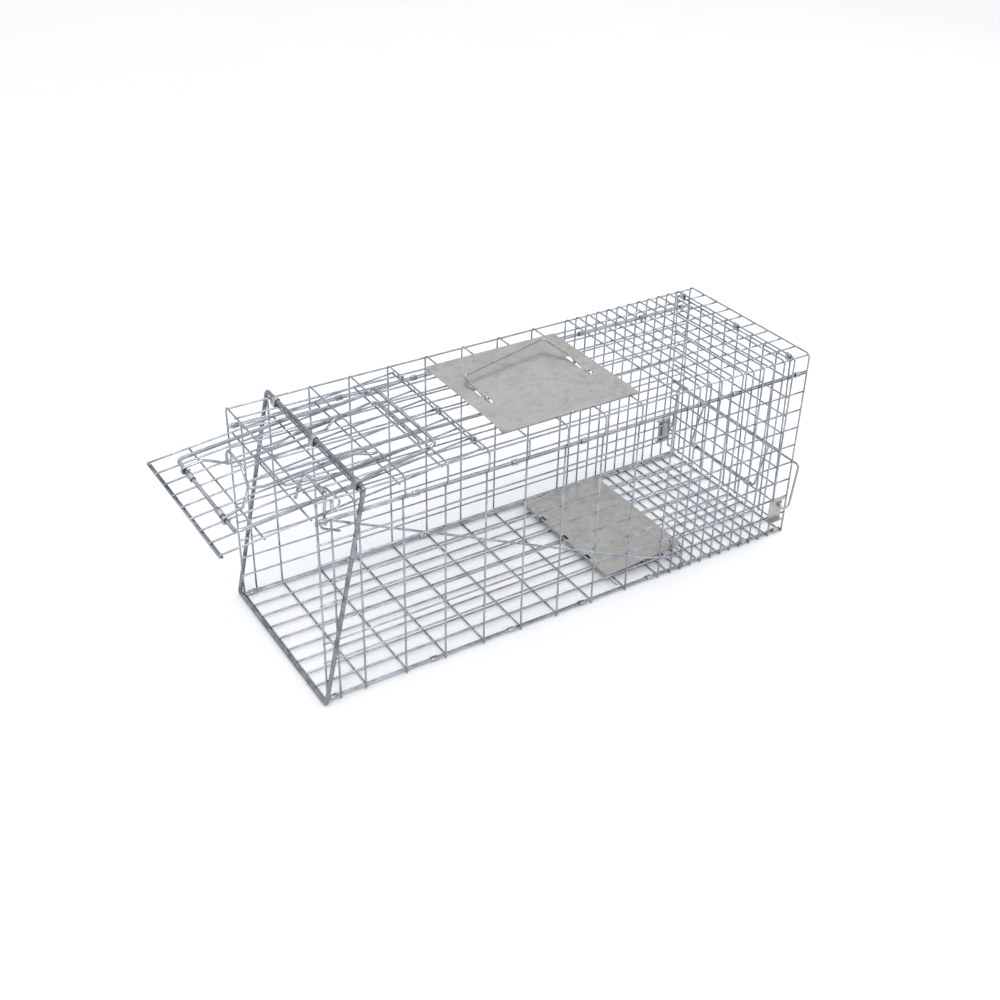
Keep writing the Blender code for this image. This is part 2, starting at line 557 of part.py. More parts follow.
def build_trigger_rod():
    px, pz = ROD_PIVOT
    path = [(29.0, ROD_Y, 214.0), (9.3, ROD_Y, 223.3), (7.6, ROD_Y, 228.3), (9.6, ROD_Y, 232.4),
            (17.0, ROD_Y, 231.0), (430.0, ROD_Y, 35.0), (474.0, ROD_Y, 20.2), (px, ROD_Y, pz),
            (px, ROD_TIP_Y, pz), (px, ROD_TIP_Y, ROD_TIP_Z)]
    bm = bmesh.new()
    wire(bm, path, ROD_R, Y)
    node("trigger_rod", bm, "bright_wire", (px, STRAP_Y[0], pz))


def build_trigger():
    (ax, az), (near, far) = TRIGGER_AXIS, TRIGGER_Y
    path = [(CATCH_TIP[0], far, CATCH_TIP[1]), (CATCH_KNEE[0], far, CATCH_KNEE[1]), (ax, far, az),
            (ax, near, az), (CRANK_TIP[0], near, CRANK_TIP[1]), (CRANK_TIP[0], CRANK_END_Y, CRANK_TIP[1])]
    bm = bmesh.new()
    wire(bm, path, TRIGGER_R, Y)
    node("trigger_lever", bm, "bright_wire", (ax, near, az))
    bm = bmesh.new()
    low, high = TRIGGER_FERRULE_Y
    crimp(bm, TRIGGER_AXIS, TRIGGER_AXIS, TRIGGER_FERRULE_R, CLIP_SHEET, low, high, "y", steps=4)
    node("trigger_ferrule", bm, "crimped_strip")
    bm = bmesh.new()
    wire(bm, [(21.6, 23.0, 259.6), (23.4, 4.0, 260.2), (26.0, TUBE_Y, 257.0), (24.2, TUBE_Y, 250.5),
              (20.4, TUBE_Y, 247.4), (TUBE_X, TUBE_Y, 249.6), (TUBE_X, TUBE_Y, 257.0)], HOOK_R, Z)
    node("trigger_hook_wire", bm, "bright_wire")
    bm = bmesh.new()
    centre = (TUBE_X, TUBE_Y)
    crimp(bm, centre, centre, TUBE_R, CLIP_SHEET * 0.8, TUBE_Z[0], TUBE_Z[1], "z", steps=4, gap=0.8)
    node("trigger_tube", bm, "crimped_strip")


def build_seam_clips():
    row_y = MESH_R + WELDED
    floor_bar = (FLOOR_BAR_Y0, 2 * FLAT + MESH_R + GAP - SEAT)
    low_row, top_row = SIDE_ROW_TOP - ROW_PITCH * (SIDE_ROWS - 1), SIDE_ROW_TOP
    pairs = {"bottom": ((row_y, low_row), floor_bar), "top": ((row_y, top_row), (row_y, FLANGE_ROW_Z))}
    for seam, stations in SEAM_CLIPS.items():
        side, height = seam.split("_")
        ends = pairs[height]
        if side == "far":
            ends = tuple((WIDTH - y, z) for y, z in ends)
        for k, x in enumerate(stations):
            bm = bmesh.new()
            crimp(bm, ends[0], ends[1], CLIP_R, CLIP_SHEET, x - CLIP_W / 2, x + CLIP_W / 2, "x")
            node(f"clip_{seam}_{k + 1}", bm, "crimped_strip")


clear_scene()
build_top_panel()
build_side_panel("side_panel_near", far=False)
build_side_panel("side_panel_far", far=True)
build_floor_panel()
build_rear_door()
build_rear_latch()
build_front_door()
build_lock_frame()
build_lift_link()
build_guide_wire()
build_front_brace()
build_guard_plate()
build_carry_handle()
build_treadle()
build_trigger_rod()
build_trigger()
build_seam_clips()
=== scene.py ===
"""Looks of the live catch trap: round welded wires, rolled strips and galvanised sheet on the frame.

Lengths are millimetres in the cage frame (x from the entrance to the rear, y from the near side to the
far side, z up from the ground). ORIGIN takes them to the part's own frame.
"""

import math

import bmesh
import bpy
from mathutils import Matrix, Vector


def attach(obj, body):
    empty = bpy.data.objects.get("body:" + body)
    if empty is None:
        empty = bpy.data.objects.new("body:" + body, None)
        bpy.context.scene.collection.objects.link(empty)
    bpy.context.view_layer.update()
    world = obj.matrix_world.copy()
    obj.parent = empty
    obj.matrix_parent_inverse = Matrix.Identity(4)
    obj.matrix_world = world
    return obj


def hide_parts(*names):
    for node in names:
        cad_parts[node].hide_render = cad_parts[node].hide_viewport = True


MM = 0.001
ORIGIN = Vector((283.482, 115.0, 0.0))
LENGTH, WIDTH = 660.0, 230.0

# ---- mesh -------------------------------------------------------------------------------------------
MESH_R = 1.1
WELD = 2 * MESH_R - 0.3                   # centre distance of two welded wires
PITCH = 50.8
COARSE = [MESH_R] + [PITCH * k for k in range(1, 10)]
STATIONS = COARSE + [COARSE[-1] + 16.2 * k for k in range(1, 12)] + [LENGTH - MESH_R]
CORNER_STATION, NEAR_SHIFT = 17.0, 3.0
TOP_Z, FLANGE_END_Z, FLANGE_ROW_Z = 258.9, 234.0, 235.3
SIDE_ROW_TOP, ROW_PITCH, SIDE_ROWS = 232.3, 25.4, 10
SIDE_TOP_END, SIDE_FOOT = 233.5, 0.4
BARS = 10
TOP_BAR_Y, FLOOR_BAR_Y, REAR_BAR_Y = 3.6, 6.2, 7.0
TOP_BEND_R, FLOOR_END_Y = 5.5, 3.0

# ---- doors ------------------------------------------------------------------------------------------
DOOR_HINGE, DOOR_SLOPE = (203.2, 253.4), math.radians(6.1)
DOOR_END_Y, DOOR_LENGTH = 13.5, 302.9
FRONT_ROW, EDGE_ROD_R, EDGE_ROD_T, EDGE_ROD_N, EDGE_ROD_Y = 302.0, 1.5, 299.4, -1.6, 14.5
REAR_HINGE, REAR_LEAN = (635.4, 253.6), math.radians(2.26)
REAR_PITCH, REAR_END_Y, REAR_ROW_OUT = 25.75, 6.0, 0.3
LAYER_STEP = 0.1                          # a door's rows and bars stand this far off their layers

# ---- heavy and formed wires -------------------------------------------------------------------------
LOCK_R, LOCK_PIVOT, LOCK_BAR, LOCK_LAYER = 2.25, (162.0, 260.35), (-71.0, 229.8), 5.55
GUIDE_R, LINK_R, LINK_N, GUIDE_N = 1.4, 1.6, 7.9, 4.7
BRACE_R, BRACE_TOP, BRACE_FOOT, BRACE_Y = 2.5, (52.5, 263.2), (-2.9, 2.8), -3.4
HANDLE_R, HANDLE_AXIS, HANDLE_TILT = 1.45, (88.0, 258.3), math.radians(8.5)
TREADLE_AXIS = (396.0, 7.4)
ROD_R, ROD_Y, ROD_PIVOT = 1.4, 7.1, (497.0, 18.75)
TRIGGER_R, TRIGGER_AXIS = 1.75, (16.4, 259.85)
LATCH_R, LATCH_PIVOT, LATCH_BAR = 1.5, (647.2, 47.6), (664.0, 104.0)
TUBE_Y = -2.6
GUIDE_Y, LATCH_Y, LOCK_Y, LOCK_BAR_Y, LINK_Y = 65.0, 50.0, 44.0, 35.0, 85.5

# ---- rolled strips: radius, places across the cage and half length ----------------------------------
STRIP, GAP, TIGHT_GAP = 0.7, 0.7, 0.6
PAIR_R, LATCH_CRIMP_R, DOOR_CLIP_R, LOCK_SLEEVE_R, BRACE_SLEEVE_R = 1.75, 2.1, 2.1, 3.1, 3.2
REAR_SLEEVE_Y, REAR_SLEEVE_HALF = (12.5, 109.1, 215.1), 3.8
DOOR_SLEEVE_Y, DOOR_SLEEVE_HALF = (34.3, 109.0, 195.5), 3.5
BRACE_SLEEVE_Y, BRACE_SLEEVE_HALF = (10.5, 111.5, 208.5), 4.8
LATCH_CRIMP_Y, LATCH_CRIMP_HALF = (61.0, 169.0), 4
LOCK_SLEEVE_Y, LOCK_SLEEVE_HALF = (75.0, 155.0), 7
DOOR_CLIP_T, DOOR_CLIP_WIDTH, SEAM_CLIP_HALF = 96.0, 8.0, 4
LOOP_STEPS = 10

CLIPS = {
    "near_bottom": (10.0, 136.0, 240.0, 341.0, 443.0, 594.9),
    "near_top": (9.0, 115.0, 237.0, 328.0, 497.7, 645.5),
    "far_bottom": (10.0, 140.0, 246.0, 348.0, 562.5),
    "far_top": (9.0, 138.0, 237.0, 481.5, 645.5),
}
# Clips beyond the CAD's nodes, shown only.
EXTRA_CLIPS = {
    "near_bottom": (497.7, 650.0),
    "near_top": (546.3,),
    "far_bottom": (447.0,),
    "far_top": (328.0, 578.7),
}

# ---- stage ------------------------------------------------------------------------------------------
GROUND_HALF = 30.0
WORLD_STOPS = ((0.0, 0.95), (0.11, 0.95), (0.16, 0.10), (0.26, 0.16), (0.42, 0.95), (1.0, 1.0))
WORLD_STRENGTH, BACKDROP = 1.12, (0.95, 0.95, 0.95, 1.0)
CAMERA_PLACE = (-0.727432, -1.131745, 0.97857)
CAMERA_TURN = (57.0754, -1.2563, -32.2079)
CAMERA_SENSOR, CAMERA_LENS = 36.0, 47.98
MIX_A, MIX_B, MIX_RESULT = 6, 7, 2        # the Mix node's colour sockets

X, Y, Z = Vector((1, 0, 0)), Vector((0, 1, 0)), Vector((0, 0, 1))


# ---- mesh helpers -----------------------------------------------------------------------------------
def circle(radius, sides):
    angles = [2 * math.pi * k / sides for k in range(sides)]
    return [(radius * math.cos(a), radius * math.sin(a)) for a in angles]


def filleted(path, radius, steps=6, closed=False):
    """The path with each corner turned into an arc, no larger than its two runs allow."""
    points = [Vector(p) for p in path]
    count = len(points)
    found = []
    for k, corner in enumerate(points):
        if not closed and k in (0, count - 1):
            found.append(corner)
            continue
        before, after = points[k - 1], points[(k + 1) % count]
        back, ahead = (before - corner).normalized(), (after - corner).normalized()
        turn = math.pi - back.angle(ahead)
        if turn < math.radians(2):
            found.append(corner)
            continue
        room = 0.49 * min((before - corner).length, (after - corner).length)
        bend = min(radius, room / math.tan(turn / 2))
        reach = bend * math.tan(turn / 2)
        centre = corner + (back + ahead).normalized() * (bend / math.cos(turn / 2))
        start = (corner + back * reach - centre).normalized()
        end = (corner + ahead * reach - centre).normalized()
        runs = max(2, int(steps * turn / (math.pi / 2) + 0.999))
        found += [centre + start.slerp(end, j / runs) * bend for j in range(runs + 1)]
    return found


def sweep(bm, points, section, ridge, closed=False, bevel=0.0):
    """Sweep a section along a path with mitred corners; bevel shrinks the cut ends a little."""
    points = [Vector(p) for p in points]
    count = len(points)
    spans = count if closed else count - 1
    runs = [(points[(k + 1) % count] - points[k]).normalized() for k in range(spans)]
    first = runs[0]
    u = (Vector(ridge) - first * first.dot(Vector(ridge))).normalized()
    v = first.cross(u)
    ring = [points[0] + u * a + v * b for a, b in section]
    rings = []
    for k, centre in enumerate(points):
        before = runs[k - 1] if (closed or k > 0) else runs[0]
        after = runs[k] if (closed or k < count - 1) else runs[-1]
        along = runs[0] if k == 0 else before
        mitre = (before + after).normalized()
        ring = [p + along * ((centre - p).dot(mitre) / along.dot(mitre)) for p in ring]
        rings.append(ring)
    if bevel and not closed:
        head = [points[0] + (p - points[0]) * 0.72 for p in rings[0]]
        tail = [points[-1] + (p - points[-1]) * 0.72 for p in rings[-1]]
        rings[0] = [p + runs[0] * bevel for p in rings[0]]
        rings[-1] = [p - runs[-1] * bevel for p in rings[-1]]
        rings = [head] + rings + [tail]
    verts = [[bm.verts.new(p) for p in ring] for ring in rings]
    sides = len(section)
    for k in range(len(verts) if closed else len(verts) - 1):
        back, front = verts[k], verts[(k + 1) % len(verts)]
        for j in range(sides):
            beside = (j + 1) % sides
            face = bm.faces.new((back[j], back[beside], front[beside], front[j]))
            face.smooth = True
    if not closed:
        bm.faces.new(list(reversed(verts[0])))
        bm.faces.new(verts[-1])


def wire(bm, path, radius, ridge=Z, closed=False, bend=0.0, sides=14):
    points = filleted(path, bend, closed=closed) if bend else path
    sweep(bm, points, circle(radius, sides), ridge, closed, bevel=radius * 0.3)


def nugget(bm, place, normal, radius):
    """The flattened bead where two wires are welded."""
    sides, rings = 10, 5
    w = Vector(normal).normalized()
    u = w.orthogonal().normalized()
    v = w.cross(u)
    rows = []
    for i in range(1, rings):
        a = math.pi * i / rings
        rows.append([bm.verts.new(Vector(place) + w * (0.55 * radius * math.cos(a))
                                  + (u * math.cos(b) + v * math.sin(b)) * radius * math.sin(a))
                     for b in (2 * math.pi * k / sides for k in range(sides))])
    for upper, lower in zip(rows, rows[1:]):
        for k in range(sides):
            beside = (k + 1) % sides
            face = bm.faces.new((upper[k], lower[k], lower[beside], upper[beside]))
            face.smooth = True
    bm.faces.new(rows[0])
    bm.faces.new(list(reversed(rows[-1])))


def strip_section(thickness, width, edge=0.16):
    """A flat strip's section with eased edges."""
    u, v = thickness / 2, width / 2
    return [(u, v - edge), (u - edge, v), (edge - u, v), (-u, v - edge),
            (-u, edge - v), (edge - u, -v), (u - edge, -v), (u, edge - v)]


def loop_points(first, second, radius, gap):
    """An open loop round two parallel wires, across them; its seam is beside their middle."""
    a, b = Vector(first), Vector(second)
    apart = (b - a).length
    e = (b - a).normalized() if apart > 1e-6 else Vector((0.0, 1.0))
    s = Vector((-e.y, e.x))
    middle = (a + b) / 2
    alone = apart <= gap
    found = [middle + s * radius + e * gap / 2]
    for centre, sign in ((b, 1), (a, -1)):
        for step in range(LOOP_STEPS + 1):
            if alone and ((sign > 0 and step == 0) or (sign < 0 and step in (0, LOOP_STEPS))):
                continue
            angle = math.pi * step / LOOP_STEPS
            aside, ahead = sign * math.cos(angle) * radius, sign * math.sin(angle) * radius
            found.append(centre + s * aside + e * ahead)
    found.append(middle + s * radius - e * gap / 2)
    return found


def crimp(bm, first, second, radius, low, high, axis, gap=GAP, sheet=STRIP):
    """A strip rolled round one or two parallel wires; `axis` is the letter they run along."""
    placed = {
        "x": lambda p, m: (m, p.x, p.y),
        "y": lambda p, m: (p.x, m, p.y),
        "z": lambda p, m: (p.x, p.y, m),
    }[axis]
    middle = (low + high) / 2
    path = [Vector(placed(p, middle)) for p in loop_points(first, second, radius, gap)]
    centre = Vector(placed((Vector(first) + Vector(second)) / 2, middle))
    sweep(bm, path, strip_section(sheet, high - low), path[0] - centre)


def mirrored(path):
    return [(x, WIDTH - y, z) for x, y, z in path]


def both_ways(near):
    return near + mirrored(reversed(near))


def spread(first, last, count):
    return [first + (last - first) * k / (count - 1) for k in range(count)]


def door_point(t, y, n):
    """A point on the front door: t forward from its hinge, n above the hinge plane."""
    c, s = math.cos(DOOR_SLOPE), math.sin(DOOR_SLOPE)
    return (DOOR_HINGE[0] - t * c - n * s, y, DOOR_HINGE[1] - t * s + n * c)


def door_at(x, y, n):
    """The point of the door's layer n that has this x."""
    return door_point((DOOR_HINGE[0] - x - n * math.sin(DOOR_SLOPE)) / math.cos(DOOR_SLOPE), y, n)


def rear_point(s, y, out):
    """A point on the rear door: s down from its hinge, out behind the hinge plane."""
    c, n = math.cos(REAR_LEAN), math.sin(REAR_LEAN)
    return (REAR_HINGE[0] + s * n + out * c, y, REAR_HINGE[1] - s * c + out * n)


# ---- materials --------------------------------------------------------------------------------------
class Nodes:
    """A short way to write a material's node tree."""

    def __init__(self, name):
        self.material = bpy.data.materials.new(name)
        self.material.use_nodes = True
        self.tree = self.material.node_tree
        self.shader = self.tree.nodes["Principled BSDF"]
        self.place = self.add("ShaderNodeTexCoord").outputs["Object"]

    def add(self, kind, **inputs):
        made = self.tree.nodes.new(kind)
        for key, value in inputs.items():
            made.inputs[key.replace("_", " ")].default_value = value
        return made

    def link(self, a, b):
        self.tree.links.new(a, b)

    def noise(self, scale, detail=4.0, roughness=0.55, stretch=None):
        made = self.add("ShaderNodeTexNoise", Scale=scale, Detail=detail, Roughness=roughness)
        place = self.place
        if stretch:
            mapping = self.add("ShaderNodeMapping", Scale=stretch)
            self.link(place, mapping.inputs["Vector"])
            place = mapping.outputs["Vector"]
        self.link(place, made.inputs["Vector"])
        return made.outputs["Fac"]

    def cells(self, scale):
        made = self.add("ShaderNodeTexVoronoi", Scale=scale)
        self.link(self.place, made.inputs["Vector"])
        return made.outputs["Color"]

    def ramp(self, factor, stops):
        made = self.add("ShaderNodeValToRGB")
        bar = made.color_ramp
        while len(bar.elements) < len(stops):
            bar.elements.new(0.5)
        for element, (position, colour) in zip(bar.elements, stops):
            element.position = position
            element.color = (*colour, 1.0)
        self.link(factor, made.inputs["Fac"])
        return made.outputs["Color"]

    def grey(self, colour):
        made = self.add("ShaderNodeRGBToBW")
        self.link(colour, made.inputs["Color"])
        return made.outputs["Val"]

    def mix(self, factor, a, b, kind="MIX"):
        made = self.add("ShaderNodeMix")
        made.data_type, made.blend_type = "RGBA", kind
        if isinstance(factor, float):
            made.inputs["Factor"].default_value = factor
        else:
            self.link(factor, made.inputs["Factor"])
        self.link(a, made.inputs[MIX_A])
        self.link(b, made.inputs[MIX_B])
        return made.outputs[MIX_RESULT]

    def ranged(self, value, low, high):
        made = self.add("ShaderNodeMapRange", To_Min=low, To_Max=high)
        self.link(value, made.inputs["Value"])
        return made.outputs["Result"]

    def finish(self, colour, roughness, height, strength, distance, metallic):
        self.link(colour, self.shader.inputs["Base Color"])
        self.link(roughness, self.shader.inputs["Roughness"])
        bump = self.add("ShaderNodeBump", Strength=strength, Distance=distance)
        self.link(height, bump.inputs["Height"])
        self.link(bump.outputs["Normal"], self.shader.inputs["Normal"])
        self.shader.inputs["Metallic"].default_value = metallic
        return self.material


def zinc_wire(name, low, high, roughness):
    """Zinc coated wire: cloudy colour, drawing marks and small dull patches."""
    m = Nodes(name)
    cloud = m.noise(70.0, 5.0)
    patch = m.noise(420.0, 3.0, 0.7)
    tone = m.ramp(cloud, [(0.32, low), (0.68, high)])
    dull = m.ramp(patch, [(0.44, (0.72, 0.73, 0.75)), (0.62, (1.0, 1.0, 1.0))])
    colour = m.mix(0.55, tone, dull, "MULTIPLY")
    rough = m.ranged(m.noise(260.0, 4.0), roughness[0], roughness[1])
    return m.finish(colour, rough, m.noise(1500.0, 3.0), 0.25, 0.00015, 0.92)


def galvanised(name):
    """Hot-dip galvanised sheet: spangle, pale bloom, rub marks, dull flecks and fine grain."""
    m = Nodes(name)
    spangle = m.grey(m.cells(95.0))
    fine = m.grey(m.cells(310.0))
    tone = m.ramp(spangle, [(0.15, (0.375, 0.37, 0.35)), (0.55, (0.42, 0.415, 0.395)),
                            (0.9, (0.465, 0.46, 0.435))])
    speck = m.ramp(fine, [(0.2, (0.88, 0.88, 0.88)), (0.8, (1.0, 1.0, 1.0))])
    colour = m.mix(0.6, tone, speck, "MULTIPLY")
    bloom = m.ramp(m.noise(22.0, 6.0, 0.62), [(0.40, (0.0, 0.0, 0.0)), (0.66, (1.0, 1.0, 1.0))])
    pale = m.ramp(m.noise(9.0, 3.0), [(0.3, (0.42, 0.415, 0.395)), (0.7, (0.475, 0.47, 0.445))])
    colour = m.mix(m.grey(bloom), colour, pale)
    drawn = m.noise(36.0, 7.0, 0.7, stretch=(1.0, 7.0, 1.0))
    rub = m.ramp(drawn, [(0.60, (1.0, 1.0, 1.0)), (0.74, (0.74, 0.74, 0.73))])
    colour = m.mix(0.7, colour, rub, "MULTIPLY")
    fleck = m.ramp(m.noise(110.0, 4.0, 0.6), [(0.36, (0.80, 0.80, 0.78)), (0.44, (1.0, 1.0, 1.0))])
    colour = m.mix(0.8, colour, fleck, "MULTIPLY")
    rough = m.ranged(m.noise(60.0, 5.0), 0.20, 0.36)
    return m.finish(colour, rough, m.mix(0.5, m.cells(95.0), m.cells(900.0)), 0.03, 0.0002, 0.68)


def ground(name):
    """Plain pale floor."""
    m = Nodes(name)
    colour = m.ramp(m.noise(3.0, 2.0), [(0.3, (0.93, 0.93, 0.93)), (0.7, (0.95, 0.95, 0.95))])
    return m.finish(colour, m.ranged(m.noise(40.0), 0.55, 0.65), m.noise(300.0), 0.02, 0.0005, 0.0)


MESH_WIRE = zinc_wire("mesh_wire_zinc", (0.27, 0.295, 0.335), (0.52, 0.55, 0.60), (0.16, 0.34))
FORMED_WIRE = zinc_wire("formed_wire_zinc", (0.33, 0.35, 0.385), (0.58, 0.60, 0.64), (0.10, 0.24))
# The same zinc as the other wires with a darker base colour: painted shade standing in for the dark
# reflections on the front brace's near leg, worn also by the door's edge rod.
SHADED_BAR_WIRE = zinc_wire("bar_wire_zinc_painted_shade", (0.16, 0.17, 0.195), (0.37, 0.385, 0.415), (0.08, 0.20))
CRIMPED = zinc_wire("crimped_strip_zinc", (0.34, 0.35, 0.37), (0.64, 0.65, 0.66), (0.20, 0.40))
GALVANISED = galvanised("galvanised_sheet")


# ---- pieces -----------------------------------------------------------------------------------------
def piece(name, bm, material, body, slot, *replaced):
    """One shown object, in the part's frame, that rides on a CAD body and stands for some CAD nodes."""
    for vertex in bm.verts:
        vertex.co = (vertex.co - ORIGIN) * MM
    mesh = bpy.data.meshes.new(name)
    bm.to_mesh(mesh)
    bm.free()
    mesh.materials.append(material)
    obj = bpy.data.objects.new(name, mesh)
    bpy.context.scene.collection.objects.link(obj)
    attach(obj, body)
    if replaced:
        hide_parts(*replaced)


def mesh_piece(name, bm, body, *replaced):
    piece(name, bm, MESH_WIRE, body, "mesh_wire", *replaced)


def formed_piece(name, bm, body, *replaced):
    piece(name, bm, FORMED_WIRE, body, "bright_wire", *replaced)


def strip_piece(name, bm, body, *replaced):
    piece(name, bm, CRIMPED, body, "crimped_strip", *replaced)


def sleeves(label, node, body, first, second, radius, places, half, gap=GAP):
    """Numbered strips rolled round wires that run across the cage."""
    for k, y in enumerate(places):
        bm = bmesh.new()
        crimp(bm, first, second, radius, y - half, y + half, "y", gap)
        strip_piece(f"{label}_{k + 1}", bm, body, f"{node}_{k + 1}")


def build_top():
    bm = bmesh.new()
    bar_y = spread(TOP_BAR_Y, WIDTH - TOP_BAR_Y, BARS)
    for y in bar_y:
        wire(bm, [(0, y, TOP_Z - WELD), (LENGTH, y, TOP_Z - WELD)], MESH_R)
    for y in (MESH_R + WELD, WIDTH - MESH_R - WELD):
        wire(bm, [(0, y, FLANGE_ROW_Z), (LENGTH, y, FLANGE_ROW_Z)], MESH_R)
    for x in STATIONS:
        wire(bm, both_ways([(x, MESH_R, FLANGE_END_Z), (x, MESH_R, TOP_Z)]), MESH_R, X, bend=TOP_BEND_R)
        for y in bar_y:
            nugget(bm, (x, y, TOP_Z - WELD / 2), Z, MESH_R)
        for y in (MESH_R + WELD / 2, WIDTH - MESH_R - WELD / 2):
            nugget(bm, (x, y, FLANGE_ROW_Z), Y, MESH_R)
    mesh_piece("top_panel_wires", bm, "cage", "top_panel")


def build_side(name, node, turn, shift):
    bm = bmesh.new()
    stations = sorted([x - shift if x in COARSE[1:] else x for x in STATIONS] + [CORNER_STATION])
    rows = [SIDE_ROW_TOP - ROW_PITCH * k for k in range(SIDE_ROWS)]
    for z in rows:
        wire(bm, turn([(0, MESH_R + WELD, z), (LENGTH, MESH_R + WELD, z)]), MESH_R)
    for x in stations:
        wire(bm, turn([(x, MESH_R, SIDE_FOOT), (x, MESH_R, SIDE_TOP_END)]), MESH_R, X)
        for z in rows:
            nugget(bm, turn([(x, MESH_R + WELD / 2, z)])[0], Y, MESH_R)
    mesh_piece(name, bm, "cage", node)


def build_floor():
    bm = bmesh.new()
    bar_y = spread(FLOOR_BAR_Y, WIDTH - FLOOR_BAR_Y, BARS)
    for y in bar_y:
        wire(bm, [(0, y, MESH_R + WELD), (LENGTH, y, MESH_R + WELD)], MESH_R)
    for x in STATIONS:
        wire(bm, [(x, FLOOR_END_Y, MESH_R), (x, WIDTH - FLOOR_END_Y, MESH_R)], MESH_R)
        for y in bar_y:
            nugget(bm, (x, y, MESH_R + WELD / 2), Z, MESH_R)
    mesh_piece("floor_panel_wires", bm, "cage", "floor_panel")


def build_rear_door():
    bm = bmesh.new()
    out = Vector((math.cos(REAR_LEAN), 0, math.sin(REAR_LEAN)))
    bar_y = spread(REAR_BAR_Y, WIDTH - REAR_BAR_Y, BARS)
    rows = [REAR_PITCH * k for k in range(BARS)]
    for k, s in enumerate(rows):
        stand = REAR_ROW_OUT if k else 0
        wire(bm, [rear_point(s, y, stand) for y in (REAR_END_Y, WIDTH - REAR_END_Y)], MESH_R)
    for y in bar_y:
        ends = [rear_point(s, y, LAYER_STEP - WELD) for s in (-0.8, rows[-1] + 1.1)]
        wire(bm, ends, MESH_R, X)
        for s in rows:
            nugget(bm, rear_point(s, y, LAYER_STEP - WELD / 2), out, MESH_R)
    mesh_piece("rear_door_wires", bm, "rear_door", "rear_door")
    sleeves("rear_hinge_sleeve", "rear_hinge_ferrule", "cage", REAR_HINGE, (REAR_HINGE[0], TOP_Z),
            PAIR_R, REAR_SLEEVE_Y, REAR_SLEEVE_HALF)


def build_rear_latch():
    bm = bmesh.new()
    foot, head = LATCH_PIVOT, LATCH_BAR
    bow = both_ways([(head[0], LATCH_Y, head[1]), (foot[0], LATCH_Y, foot[1])])
    wire(bm, bow, LATCH_R, X, bend=5.0)
    end = [(645.0, -4.0, 54.0), (645.0, -4.0, 46.0), (651.0, -4.6, 40.0), (658.5, -5.6, 44.0),
           (head[0], -6.5, head[1])]
    wire(bm, both_ways(end), LATCH_R, X, bend=5.0)
    formed_piece("rear_latch_wire", bm, "rear_latch", "rear_latch_frame")
    row = rear_point(REAR_PITCH * 8, 0, REAR_ROW_OUT)
    sleeves("rear_latch_crimp", "rear_latch_ferrule", "rear_door", (row[0], row[2]), foot,
            LATCH_CRIMP_R, LATCH_CRIMP_Y, LATCH_CRIMP_HALF)


def build_front_door():
    bm = bmesh.new()
    up = Vector(door_point(0, 0, 1)) - Vector(door_point(0, 0, 0))
    bar_y = [15.0 + 25.0 * k for k in range(9)]
    rows = [PITCH * k for k in range(6)] + [FRONT_ROW]
    for y in bar_y:
        wire(bm, [door_point(t, y, WELD - LAYER_STEP) for t in (-MESH_R, DOOR_LENGTH)], MESH_R)
    for t in rows:
        n = -LAYER_STEP if t else 0.0
        wire(bm, [door_point(t, y, n) for y in (DOOR_END_Y, WIDTH - DOOR_END_Y)], MESH_R)
        for y in bar_y:
            nugget(bm, door_point(t, y, WELD / 2), up, MESH_R)
    mesh_piece("front_door_wires", bm, "front_door", "front_door")

    bm = bmesh.new()
    rod = [door_point(EDGE_ROD_T, y, EDGE_ROD_N) for y in (EDGE_ROD_Y, WIDTH - EDGE_ROD_Y)]
    wire(bm, rod, EDGE_ROD_R, up)
    # The edge rod wears the darker zinc, whose base colour holds painted shade.
    piece("door_edge_wire", bm, SHADED_BAR_WIRE, "front_door", "bright_wire", "door_edge_rod")

    sleeves("door_hinge_sleeve", "door_hinge_ferrule", "cage", DOOR_HINGE, (DOOR_HINGE[0], TOP_Z),
            PAIR_R, DOOR_SLEEVE_Y, DOOR_SLEEVE_HALF)


def build_guide_wire():
    bm = bmesh.new()
    near = [door_at(x, y, GUIDE_N)
            for x, y in ((154.0, 61.5), (113.0, GUIDE_Y), (59.0, GUIDE_Y), (2.0, 80.0))]
    wire(bm, both_ways(near), GUIDE_R, closed=True, bend=6.0)
    formed_piece("door_guide_loop", bm, "front_door", "door_guide_wire")
    for side, y in (("near", GUIDE_Y), ("far", WIDTH - GUIDE_Y)):
        bm = bmesh.new()
        loop = loop_points((y, WELD), (y, GUIDE_N), DOOR_CLIP_R, GAP)
        path = [Vector(door_point(DOOR_CLIP_T, p.x, p.y)) for p in loop]
        centre = Vector(door_point(DOOR_CLIP_T, y, (WELD + GUIDE_N) / 2))
        sweep(bm, path, strip_section(STRIP, DOOR_CLIP_WIDTH), path[0] - centre)
        strip_piece(f"door_clip_{side}_strip", bm, "front_door", f"door_clip_{side}")


def build_lock_frame():
    bm = bmesh.new()
    near = [(LOCK_PIVOT[0], LOCK_Y, LOCK_PIVOT[1]), door_at(154.0, LOCK_Y, LOCK_LAYER),
            door_at(108.0, LOCK_Y, LOCK_LAYER), door_at(60.0, LOCK_BAR_Y, LOCK_LAYER),
            (LOCK_BAR[0], LOCK_BAR_Y, LOCK_BAR[1])]
    path = filleted(both_ways(near), 8.0, 8, closed=True)
    wire(bm, path, LOCK_R, closed=True, sides=20)
    formed_piece("lock_frame_wire", bm, "lock_frame", "lock_frame")
    sleeves("lock_bar_sleeve", "lock_bar_ferrule", "lock_frame", LOCK_BAR, LOCK_BAR,
            LOCK_SLEEVE_R, LOCK_SLEEVE_Y, LOCK_SLEEVE_HALF, TIGHT_GAP)


